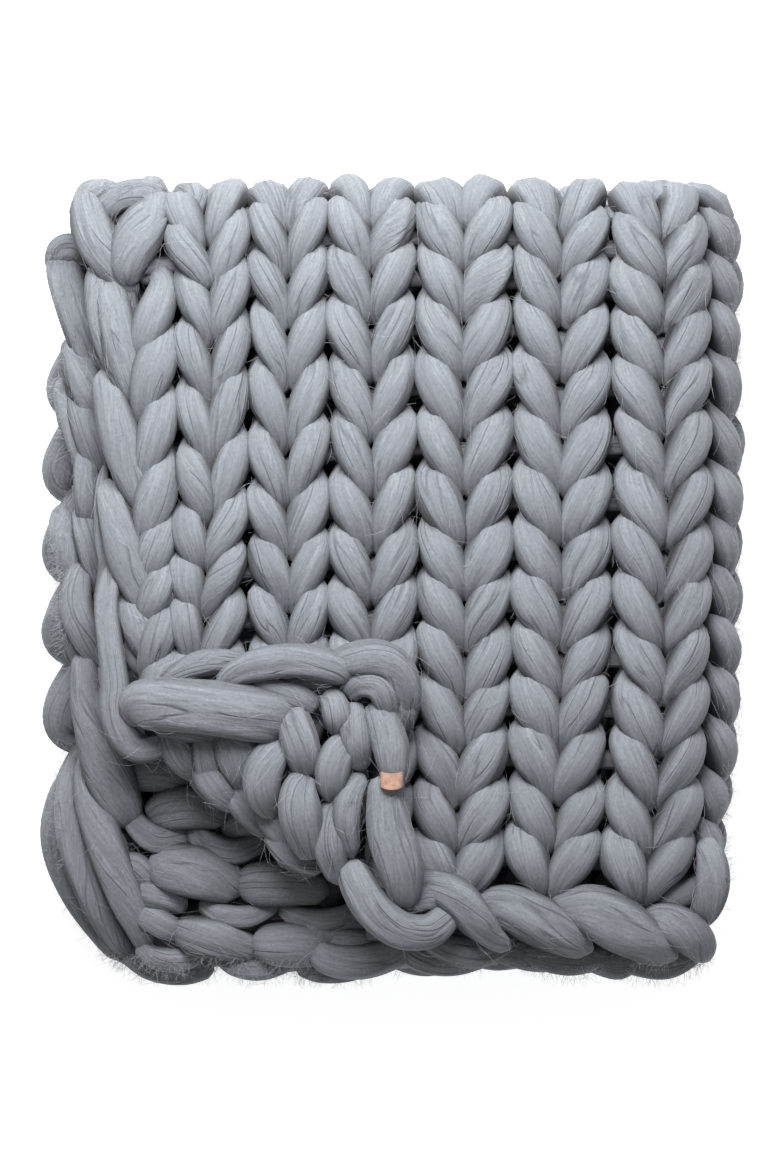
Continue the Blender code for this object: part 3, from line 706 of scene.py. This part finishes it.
flapStrands = {
    "edgeStrand": ((146, 714, 140, 20), (142, 706, 156, 25), (158, 704, 165, 27), (200, 707, 168, 27),
                   (245, 713, 168, 27), (273, 718, 161, 25), (286, 723, 148, 18)),
    "underEdge": ((138, 724, 124, 16), (170, 722, 142, 20), (215, 724, 144, 21), (262, 730, 138, 18)),
    "underHook": ((112, 680, 112, 12), (116, 706, 126, 16), (132, 730, 128, 17), (158, 738, 126, 16),
                  (182, 736, 114, 11)),
    "hookCore": ((120, 686, 128, 12), (128, 710, 141, 15), (142, 724, 140, 14), (158, 724, 124, 9)),
    "underTip": ((346, 686, 134, 12), (360, 682, 148, 15), (378, 684, 150, 16), (398, 694, 148, 15),
                 (407, 712, 136, 11)),
    "underTipLow": ((344, 682, 128, 12), (362, 675, 135, 15), (386, 676, 135, 15), (404, 692, 130, 12)),
    "underTop": ((166, 684, 134, 10), (192, 672, 146, 14), (232, 672, 150, 15), (280, 676, 150, 16),
                 (330, 680, 150, 15), (352, 684, 140, 10)),
    "underTopLow": ((150, 690, 122, 10), (190, 678, 134, 15), (250, 676, 136, 16), (310, 680, 136, 16),
                    (350, 688, 130, 11)),
    "underBend": ((350, 872, 132, 13), (366, 898, 147, 17), (394, 914, 150, 18), (424, 918, 144, 15),
                  (450, 908, 132, 10)),
    "underBendLow": ((352, 878, 112, 13), (374, 904, 126, 17), (402, 916, 130, 18), (434, 916, 126, 14),
                     (458, 906, 118, 10)),
    "underEdgeLow": ((140, 712, 112, 14), (178, 708, 128, 18), (222, 710, 130, 18), (258, 716, 124, 14)),
    "topLeft": ((160, 690, 150, 9), (178, 674, 158, 11), (205, 663, 162, 13), (238, 662, 162, 11),
                (255, 668, 155, 9)),
    "topLong": ((222, 694, 158, 9), (232, 676, 165, 13), (262, 664, 169, 17), (300, 661, 170, 17),
                (335, 668, 169, 16), (352, 680, 164, 11)),
    "topUnder": ((250, 684, 158, 9), (275, 690, 162, 12), (300, 698, 162, 12), (318, 708, 156, 9)),
    "tipHood": ((326, 668, 158, 11), (350, 660, 168, 16), (376, 659, 170, 19), (396, 669, 170, 18),
                (405, 692, 165, 16), (405, 718, 154, 11)),
    "tipInner": ((346, 696, 158, 10), (360, 685, 167, 13), (377, 686, 170, 15), (386, 700, 168, 14),
                 (390, 720, 158, 10)),
    "tipLow": ((394, 676, 148, 11), (401, 690, 158, 15), (404, 710, 157, 15), (402, 730, 146, 10)),
    "smallOval": ((328, 694, 156, 11), (334, 704, 165, 14), (338, 718, 166, 15), (340, 733, 156, 11)),
    "pairLeft": ((352, 704, 156, 11), (354, 722, 166, 14), (357, 745, 167, 15), (362, 770, 156, 10)),
    "pairRight": ((374, 702, 156, 12), (381, 718, 165, 16), (389, 742, 168, 18), (392, 761, 169, 16),
                  (393, 776, 166, 13), (393, 790, 154, 9)),
    "labelNeck": ((392, 770, 158, 8), (392, 779, 170, 11), (392, 791, 171, 11), (394, 804, 160, 9)),
    "edgeOval": ((350, 738, 156, 10), (339, 750, 165, 16), (333, 768, 168, 18), (332, 786, 165, 15),
                 (337, 800, 154, 9)),
    "underLabel": ((362, 774, 156, 9), (350, 795, 165, 13), (346, 822, 166, 14), (352, 858, 156, 9)),
    "bigLobe": ((381, 777, 157, 10), (384, 793, 166, 17), (390, 830, 169, 22), (400, 866, 168, 23),
                (404, 892, 162, 18), (404, 906, 152, 10)),
    "innerA": ((288, 706, 156, 13), (294, 724, 164, 18), (302, 750, 166, 19), (308, 776, 156, 13)),
    "innerB": ((286, 742, 152, 11), (272, 755, 162, 17), (262, 776, 164, 19), (263, 797, 160, 17),
               (275, 816, 146, 10)),
    "innerC": ((306, 774, 156, 11), (299, 792, 165, 19), (300, 815, 167, 22), (307, 840, 160, 18),
               (314, 858, 148, 11)),
    "innerD": ((338, 796, 152, 9), (331, 820, 160, 15), (330, 850, 160, 16), (340, 884, 148, 10)),
    "lowerC": ((270, 818, 134, 9), (278, 842, 140, 13), (295, 860, 141, 13), (322, 870, 136, 9)),
    "bigHook": ((349, 858, 148, 12), (356, 880, 160, 17), (372, 908, 165, 19), (398, 930, 164, 19),
                (426, 932, 158, 18), (443, 919, 150, 16), (454, 900, 134, 11)),
    "hookFill": ((396, 908, 144, 10), (412, 903, 152, 13), (430, 899, 152, 13), (448, 908, 142, 10)),
    "belowA": ((228, 726, 140, 16), (236, 746, 149, 23), (243, 768, 146, 22), (250, 788, 132, 13)),
    "belowB": ((204, 726, 136, 12), (208, 750, 144, 18), (212, 774, 139, 17), (222, 800, 124, 10)),
    "belowG": ((200, 762, 134, 10), (209, 779, 144, 15), (221, 795, 142, 14), (238, 808, 128, 9)),
    "belowC": ((170, 724, 134, 12), (174, 742, 141, 17), (184, 760, 137, 17), (202, 778, 122, 9)),
    "belowD": ((234, 776, 128, 12), (240, 794, 137, 17), (252, 812, 135, 17), (272, 834, 122, 11)),
    "belowF": ((262, 800, 132, 12), (272, 818, 140, 17), (288, 836, 140, 17), (312, 852, 130, 11)),
    "belowE": ((192, 770, 122, 7), (200, 784, 126, 9), (215, 798, 124, 9), (232, 806, 116, 7)),
    "hookAtEdge": ((114, 560, 118, 8), (110, 580, 128, 11), (106, 606, 136, 12), (109, 640, 142, 13),
                   (115, 684, 147, 14), (114, 707, 149, 14), (121, 732, 148, 15), (136, 748, 144, 15),
                   (156, 746, 141, 14), (174, 732, 130, 10)),
}
edgeStrands = {
    "topCornerA": ((78, 202, 106, 11), (86, 214, 117, 16), (98, 233, 124, 18), (112, 257, 127, 17),
                   (125, 280, 124, 13), (134, 298, 114, 8)),
    "topCornerB": ((160, 206, 120, 12), (148, 220, 130, 22), (135, 242, 133, 25), (128, 266, 131, 19),
                   (130, 288, 122, 9)),
    "topCornerArch": ((102, 228, 108, 9), (106, 209, 118, 14), (121, 197, 122, 15), (144, 194, 122, 15),
                      (166, 200, 114, 9)),
    "topCornerFill": ((108, 214, 104, 10), (124, 212, 112, 14), (142, 208, 114, 13), (160, 206, 104, 9)),
    "topCornerLow": ((80, 222, 86, 9), (90, 209, 95, 14), (107, 199, 99, 14), (128, 195, 94, 9)),
    "topCornerBack": ((108, 196, 62, 10), (97, 205, 76, 15), (91, 220, 82, 16), (86, 240, 72, 11)),
    "underUpperA": ((104, 226, 92, 11), (112, 268, 101, 16), (120, 330, 103, 18), (127, 398, 102, 17),
                    (134, 456, 94, 12)),
    "underUpperB": ((120, 420, 92, 11), (128, 470, 101, 16), (134, 530, 103, 17), (147, 592, 102, 17),
                    (160, 640, 94, 12)),
    "underUpperC": ((136, 570, 92, 11), (146, 615, 101, 16), (162, 660, 103, 17), (186, 690, 102, 16),
                    (214, 706, 96, 11)),
    "underUpperD": ((112, 226, 112, 10), (120, 262, 118, 13), (124, 300, 118, 13), (132, 340, 110, 9)),
    "upperA": ((86, 196, 112, 13), (88, 212, 124, 18), (96, 240, 129, 21), (110, 266, 127, 17),
               (124, 290, 116, 10)),
    "upperB": ((99, 264, 116, 8), (96, 285, 125, 12), (99, 320, 127, 12), (108, 355, 124, 10),
               (118, 380, 114, 7)),
    "upperC": ((106, 274, 116, 10), (112, 300, 127, 17), (119, 340, 130, 19), (128, 380, 128, 16),
               (138, 408, 116, 10)),
    "upperD": ((103, 370, 112, 10), (108, 392, 125, 16), (118, 430, 130, 20), (130, 470, 129, 19),
               (141, 500, 124, 15), (146, 517, 112, 9)),
    "upperE": ((107, 480, 112, 10), (112, 505, 125, 17), (123, 545, 131, 21), (136, 580, 130, 19),
               (149, 606, 124, 15), (157, 622, 112, 8)),
    "upperF": ((125, 592, 114, 10), (133, 612, 126, 18), (146, 635, 130, 21), (160, 656, 126, 16),
               (174, 672, 114, 9)),
    "upperG": ((130, 636, 112, 8), (139, 658, 121, 13), (156, 672, 121, 12), (168, 682, 112, 8)),
    "upperInner": ((104, 466, 106, 6), (101, 500, 114, 8), (103, 540, 117, 9), (108, 565, 117, 10),
                   (103, 600, 114, 9), (101, 618, 104, 6)),
    "nextA": ((86, 266, 80, 10), (75, 250, 90, 15), (61, 251, 88, 15), (53, 270, 74, 10)),
    "nextB": ((58, 256, 78, 12), (64, 275, 90, 18), (73, 305, 94, 19), (84, 340, 93, 17),
              (94, 368, 88, 13), (102, 388, 78, 8)),
    "nextC": ((72, 336, 80, 10), (77, 358, 90, 17), (85, 385, 93, 19), (94, 412, 88, 15),
              (102, 434, 78, 8)),
    "nextD": ((61, 378, 76, 9), (67, 405, 85, 13), (74, 435, 87, 13), (84, 462, 84, 11),
              (92, 480, 76, 7)),
    "nextE": ((74, 386, 82, 9), (82, 415, 92, 14), (91, 445, 93, 15), (99, 470, 88, 11),
              (104, 484, 78, 7)),
    "nextF": ((86, 443, 80, 9), (86, 465, 91, 14), (88, 490, 93, 15), (90, 512, 88, 14),
              (92, 530, 78, 9)),
    "nextG": ((80, 506, 78, 9), (86, 530, 90, 14), (92, 555, 91, 14), (98, 580, 86, 11),
              (102, 598, 78, 7)),
    "nextH": ((64, 504, 62, 9), (62, 530, 78, 14), (68, 555, 82, 14), (70, 575, 78, 12),
              (72, 594, 66, 7)),
    "nextI": ((83, 562, 80, 10), (77, 582, 90, 15), (76, 608, 93, 18), (85, 632, 92, 18),
              (98, 656, 87, 13), (108, 676, 78, 8)),
    "nextJ": ((61, 594, 70, 7), (66, 620, 80, 10), (73, 645, 83, 10), (82, 670, 76, 7)),
    "nextK": ((84, 648, 80, 9), (84, 670, 90, 14), (86, 700, 95, 17), (97, 735, 98, 22),
              (110, 775, 99, 25), (121, 806, 95, 21), (130, 828, 84, 12)),
    "nextL": ((96, 662, 82, 7), (99, 685, 90, 11), (104, 708, 84, 9)),
    "nextLong": ((84, 750, 82, 11), (92, 800, 94, 18), (107, 850, 97, 20), (125, 896, 93, 19),
                 (140, 930, 84, 14), (148, 952, 70, 9)),
    "nextLongOuter": ((72, 756, 72, 10), (70, 805, 82, 16), (78, 852, 84, 18), (95, 900, 80, 17),
                      (114, 934, 70, 13), (130, 956, 60, 8)),
    "cornerBottomLeft": ((96, 912, 40, 10), (112, 936, 52, 15), (136, 954, 54, 15), (164, 964, 44, 10)),
    "thirdLow": ((74, 766, 50, 10), (61, 805, 58, 17), (60, 845, 58, 19), (78, 895, 52, 17),
                 (104, 935, 46, 14), (126, 960, 40, 10)),
    "braidA": ((412, 886, 138, 9), (430, 884, 149, 14), (455, 897, 152, 20), (476, 920, 150, 19),
               (493, 938, 142, 13), (510, 948, 130, 8)),
    "braidB": ((470, 924, 118, 9), (484, 908, 128, 16), (508, 908, 134, 23), (540, 922, 135, 26),
               (568, 938, 131, 20), (592, 950, 118, 10)),
    "braidC": ((548, 920, 116, 9), (564, 908, 128, 17), (590, 909, 134, 25), (620, 926, 135, 29),
               (650, 944, 130, 22), (676, 958, 116, 11)),
    "braidD": ((642, 934, 114, 9), (656, 921, 125, 17), (676, 926, 129, 21), (695, 940, 124, 19),
               (708, 960, 106, 11)),
    "braidTurn": ((703, 838, 116, 9), (711, 858, 127, 15), (712, 884, 130, 17), (706, 908, 125, 15),
                  (696, 926, 110, 9)),
    "braidUnderA": ((418, 934, 110, 9), (446, 948, 121, 15), (478, 952, 123, 16), (514, 938, 112, 10)),
    "braidUnderB": ((508, 948, 96, 9), (545, 957, 104, 14), (578, 960, 106, 15), (610, 952, 98, 9)),
    "braidUnderC": ((600, 954, 92, 9), (635, 962, 100, 14), (668, 964, 102, 15), (700, 952, 94, 9)),
}
cornerStrands = {
    "ovalA": ((128, 776, 84, 12), (142, 774, 90, 18), (165, 775, 91, 18), (192, 786, 84, 12)),
    "ovalB": ((150, 818, 84, 12), (166, 810, 91, 20), (195, 808, 93, 21), (228, 818, 84, 14)),
    "cupA": ((128, 806, 84, 9), (138, 826, 91, 14), (160, 840, 92, 15), (190, 832, 84, 9)),
    "cupB": ((190, 826, 84, 9), (206, 844, 91, 14), (236, 852, 92, 14), (270, 838, 84, 10)),
    "ovalC": ((224, 832, 80, 12), (244, 822, 88, 15), (268, 828, 84, 13)),
    "ovalBig": ((152, 864, 84, 16), (170, 868, 92, 26), (202, 874, 94, 27), (243, 890, 84, 17)),
    "ovalD": ((240, 886, 84, 14), (258, 884, 92, 22), (292, 885, 93, 22), (328, 892, 84, 14)),
    "twistA": ((122, 868, 84, 11), (134, 866, 91, 14), (146, 876, 90, 13), (156, 892, 82, 9)),
    "twistB": ((128, 892, 84, 9), (146, 894, 91, 14), (168, 900, 90, 14), (186, 908, 82, 9)),
    "cupC": ((200, 902, 84, 8), (218, 914, 90, 12), (248, 917, 91, 12), (280, 903, 84, 8)),
    "ovalE": ((132, 908, 82, 11), (146, 916, 89, 15), (164, 926, 89, 15), (182, 934, 80, 10)),
    "ovalF": ((176, 930, 82, 13), (194, 934, 90, 19), (222, 940, 91, 20), (258, 952, 82, 13)),
    "ovalG": ((256, 944, 82, 15), (274, 944, 90, 22), (302, 945, 91, 22), (334, 950, 82, 14)),
    "cupD": ((280, 906, 84, 8), (298, 918, 90, 12), (328, 920, 91, 12), (360, 908, 84, 8)),
    "ovalH": ((326, 946, 82, 14), (346, 948, 89, 20), (376, 950, 89, 20), (412, 956, 82, 13)),
    "cupE": ((138, 944, 76, 9), (154, 956, 82, 12), (176, 960, 83, 12), (206, 954, 76, 9)),
    "cupF": ((218, 956, 76, 8), (236, 967, 82, 11), (262, 970, 83, 11), (292, 962, 76, 8)),
    "cupG": ((296, 966, 74, 8), (318, 972, 80, 11), (346, 972, 80, 11), (372, 966, 74, 8)),
    "lowEdge": ((120, 950, 56, 9), (150, 968, 60, 12), (184, 973, 60, 12), (214, 968, 56, 9)),
    "borderBits": ((104, 826, 80, 8), (114, 840, 88, 11), (120, 858, 86, 10), (124, 874, 78, 7)),
}
makeLaid("corner_flap", flapStrands, 38, 30, 5.0)
makeLaid("corner_second_layer", cornerStrands, 34, 26, 5.0)
makeLaid("edge_strands", edgeStrands, 38, 30, 12.0)
print("corner made")

# loose fibres that stand off the wool

looseFibres = {
    "count": 4600, "shortest": 0.010, "longest": 0.027, "radius": 0.00011, "lift": 0.0026,
    "outward": 0.0, "leanSpread": 0.5, "freeShare": 0.3, "stations": 7,
}
edgeFuzz = {
    "count": 7000, "shortest": 0.004, "longest": 0.012, "radius": 0.00008, "lift": 0.0026,
    "outward": 0.5, "leanSpread": 1.2, "freeShare": 0.8, "stations": 5, "nearEdge": 0.94,
}
fibreShape = {
    "lifts": (0.3, 1.3), "freeRise": 1.6, "sunk": 0.0006, "bend": 0.20, "curl": 0.0009, "curls": (2, 7),
    "taper": (0.35, 0.65, 0.12, 0.76),  # thinnest share, the rest, and a sine's first angle and reach
    "beyond": 0.009, "above": 0.006, "overFloor": 0.002,  # how far past the pile's box they may stand
}
# painted light: the loose fibres are coloured lighter than the wool they come from, so they read as lit
# fibres over the shaded crevices
fibreLook = {"colour": (0.44, 0.46, 0.49, 1.0), "shade": (0.28, 0.30, 0.33, 1.0), "patches": 60.0,
             "contrast": (0.35, 0.65), "roughness": 0.9}


def looseWoolMaterial():
    material, tree, shader = newMaterial("looseWool")
    patches = noiseNode(tree, objectPlace(tree), fibreLook["patches"]).outputs["Fac"]
    share = rangeNode(tree, patches, *fibreLook["contrast"])
    colour = mixColour(tree, share, fibreLook["shade"], fibreLook["colour"])
    fillSockets(tree, shader, (("Base Color", colour), ("Roughness", fibreLook["roughness"])))
    return material


looseWool = looseWoolMaterial()


def makeFibres(name, values, anchors):
    # each fibre leaves the wool's surface, bends sideways as s squared and lifts as sin(pi s) or,
    # where it is free, as s; three sides, closed at both ends
    shape = fibreShape
    picked = anchors[rng.integers(0, len(anchors), values["count"])]
    start, along, away = picked[:, 0], unit(picked[:, 1]), unit(picked[:, 2])
    beside = np.cross(along, away)
    n, stations = len(start), values["stations"]
    lean = rng.normal(0.0, values["leanSpread"], (n, 1))
    sign = rng.choice([-1.0, 1.0], (n, 1))
    heading = sign * (along * np.cos(lean) + beside * np.sin(lean))
    side = np.cross(heading, away)
    heading = heading * (1 - values["outward"]) + away * values["outward"]
    length = rng.uniform(values["shortest"], values["longest"], (n, 1))
    s = np.linspace(0.0, 1.0, stations)[None, :, None]
    free = (rng.random((n, 1, 1)) < values["freeShare"]) * 1.0
    lift = values["lift"] * rng.uniform(*shape["lifts"], (n, 1, 1))
    rise = lift * ((1 - free) * np.sin(math.pi * s) + free * s * shape["freeRise"]) - shape["sunk"]
    bend = rng.normal(0.0, shape["bend"], (n, 1, 1)) * length[:, None] * s ** 2
    phase = rng.uniform(0, 6.28, (n, 1, 1))
    curl = shape["curl"] * np.sin(phase + s * rng.uniform(*shape["curls"], (n, 1, 1))) * s
    path = (start[:, None] + heading[:, None] * length[:, None] * s + away[:, None] * (rise + curl)
            + side[:, None] * (bend + curl))
    room = cadHigh[:2] + shape["beyond"]
    inside = (np.abs(path[..., :2]) < room).all(axis=(1, 2)) & (path[..., 2] > shape["overFloor"]).all(axis=1)
    path = path[inside & (path[..., 2] < cadHigh[2] + shape["above"]).all(axis=1)]
    run = unit(np.gradient(path, axis=1))
    across = unit(np.cross(run, np.array([0.03, 0.05, 1.0])))
    up = np.cross(across, run)
    least, more, first, reach = shape["taper"]
    taper = (values["radius"] * (least + more * np.sin(math.pi * (first + reach * s))))[..., None]
    angle = (np.array([0.0, 1.0, 2.0]) * 2 * math.pi / 3)[None, None, :, None]
    ring = (path[:, :, None] + across[:, :, None] * (taper * np.cos(angle))
            + up[:, :, None] * (taper * np.sin(angle)))
    k = np.arange(len(path) * stations * 3).reshape(-1, stations, 3)
    after = np.roll(k, -1, axis=2)
    quads = np.stack((k[:, :-1], k[:, 1:], after[:, 1:], after[:, :-1]), axis=-1).reshape(-1, 4)
    caps = np.concatenate((k[:, 0], k[:, -1, ::-1]))
    obj = addMesh(name, ring.reshape(-1, 3), [quads, caps], looseWool)
    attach(obj, "root")
    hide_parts("throw_knit")


allAnchors = np.concatenate(fibreAnchors)
makeFibres("loose_fibres", looseFibres, allAnchors)
toEdge = np.maximum(np.abs(allAnchors[:, 0, 0]) / cadHigh[0], np.abs(allAnchors[:, 0, 1]) / cadHigh[1])
makeFibres("edge_fuzz", edgeFuzz, allAnchors[toEdge > edgeFuzz["nearEdge"]])
print("fibres made")

# label

label = {
    "centre": (-0.0008, -0.1467), "width": 0.0181, "height": 0.0122, "thickness": 0.0013,
    "top": 0.1822, "strandRadius": 0.0125, "bow": 0.0019, "colour": (0.57, 0.365, 0.275, 1.0),
    "fleck": (0.40, 0.235, 0.165, 1.0), "edge": (0.27, 0.155, 0.105, 1.0), "roughness": 0.55,
    "grid": (29, 17), "cornersIn": (0.10, 0.04), "cornerPower": 8, "rimPower": 7,
    "pebbles": 1400.0, "clouds": 240.0, "cloudContrast": (0.35, 0.7), "relief": (0.35, 0.0003),
}


def leatherMaterial():
    material, tree, shader = newMaterial("tanLeather")
    place = objectPlace(tree)
    pebble = addNode(tree, "ShaderNodeTexVoronoi", (("Vector", place), ("Scale", label["pebbles"])))
    cloud = noiseNode(tree, place, label["clouds"], 4.0).outputs["Fac"]
    base = mixColour(tree, rangeNode(tree, cloud, *label["cloudContrast"]), label["colour"], label["fleck"])
    whole = mixColour(tree, readAttribute(tree, "rim"), base, label["edge"])
    fillSockets(tree, shader, (("Base Color", whole),
                               ("Normal", bumpNode(tree, pebble.outputs["Distance"], *label["relief"])),
                               ("Roughness", label["roughness"])))
    return material


def makeLabel():
    # a strip bent over its strand: x = r sin(a), z = top - r + r cos(a), its middle lower
    # than its ends by the bow, its corners rounded and its two faces joined round the rim; the
    # rim attribute darkens the cut edge
    across, along = label["grid"]
    share = np.linspace(-1, 1, across)[:, None]
    tall = np.linspace(-1, 1, along)[None, :]
    bend = label["width"] / 2 / label["strandRadius"]
    lower, narrower = label["cornersIn"]
    corner = 1 - lower * np.abs(share) ** label["cornerPower"]
    angle = share * bend * (1 - narrower * np.abs(tall) ** label["cornerPower"])
    y = label["centre"][1] + tall * label["height"] / 2 * corner - label["bow"] * (0.5 - share ** 2)
    skins = []
    for radius in (label["strandRadius"], label["strandRadius"] - label["thickness"]):
        x = label["centre"][0] + radius * np.sin(angle)
        z = label["top"] - label["strandRadius"] + radius * np.cos(angle)
        skins.append(np.stack((x, y, z), axis=-1).reshape(-1, 3))
    k = np.arange(across * along).reshape(across, along)
    quads = np.stack((k[:-1, :-1], k[1:, :-1], k[1:, 1:], k[:-1, 1:]), axis=-1).reshape(-1, 4)
    ring = np.concatenate((k[:-1, 0], k[-1, :-1], k[:0:-1, -1], k[0, :0:-1]))
    after = np.roll(ring, -1)
    under = across * along
    sides = np.stack((ring, ring + under, after + under, after), axis=-1)
    rim = np.maximum(np.abs(share), np.abs(tall)).ravel() ** label["rimPower"]
    obj = addMesh("label_band", np.concatenate(skins), [quads, quads[:, ::-1] + under, sides],
                  leatherMaterial(), rim=np.tile(rim, 2))
    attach(obj, "root")
    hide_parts("leather_label")


makeLabel()
print("label made")

# floor, light and camera

ground = {"half": 3.0, "colour": (0.93, 0.925, 0.92, 1), "roughness": 0.9, "glow": 0.75}
window = {
    "place": (-0.12, 0.80, 0.98), "aim": (0, -0.02, 0.1), "size": 0.9, "power": 30,
    "colour": (1.0, 0.99, 0.98), "sky": 0.32,
}
# painted light: the floor glows though it is no lamp, which keeps it white, fades the pile's shadows on it
# and lights the pile's edges from below
paleFloor, floorTree, floorShader = newMaterial("paleFloor")
fillSockets(floorTree, floorShader, (("Base Color", ground["colour"]), ("Roughness", ground["roughness"]),
                                     ("Emission Color", (1, 1, 1, 1)), ("Emission Strength", ground["glow"])))
corners = np.array([(-1, -1, 0), (1, -1, 0), (1, 1, 0), (-1, 1, 0)]) * ground["half"]
addMesh("floor", corners, [np.array([[0, 1, 2, 3]])], paleFloor)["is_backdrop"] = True

light = bpy.data.lights.new("windowLight", "AREA")
light.shape, light.size, light.energy, light.color = "DISK", window["size"], window["power"], window["colour"]
lightItem = addObject("windowLight", light)
lightItem.location = window["place"]
lightItem.rotation_euler = (Vector(window["aim"]) - lightItem.location).to_track_quat("-Z", "Y").to_euler()
world = bpy.data.worlds.new("studio")
world.use_nodes = True
background = world.node_tree.nodes["Background"]
fillSockets(world.node_tree, background, (("Color", (1, 1, 1, 1)), ("Strength", window["sky"])))
bpy.context.scene.world = world
bpy.context.scene.view_settings.view_transform = "Standard"

camera = bpy.data.cameras.new("camera")
camera.lens = 120.0
camera.sensor_width = 36.0
cameraItem = addObject("camera", camera)
cameraItem.location = (-0.0019, -0.0053, view["cameraHeight"])
bpy.context.scene.camera = cameraItem
print("stage made")
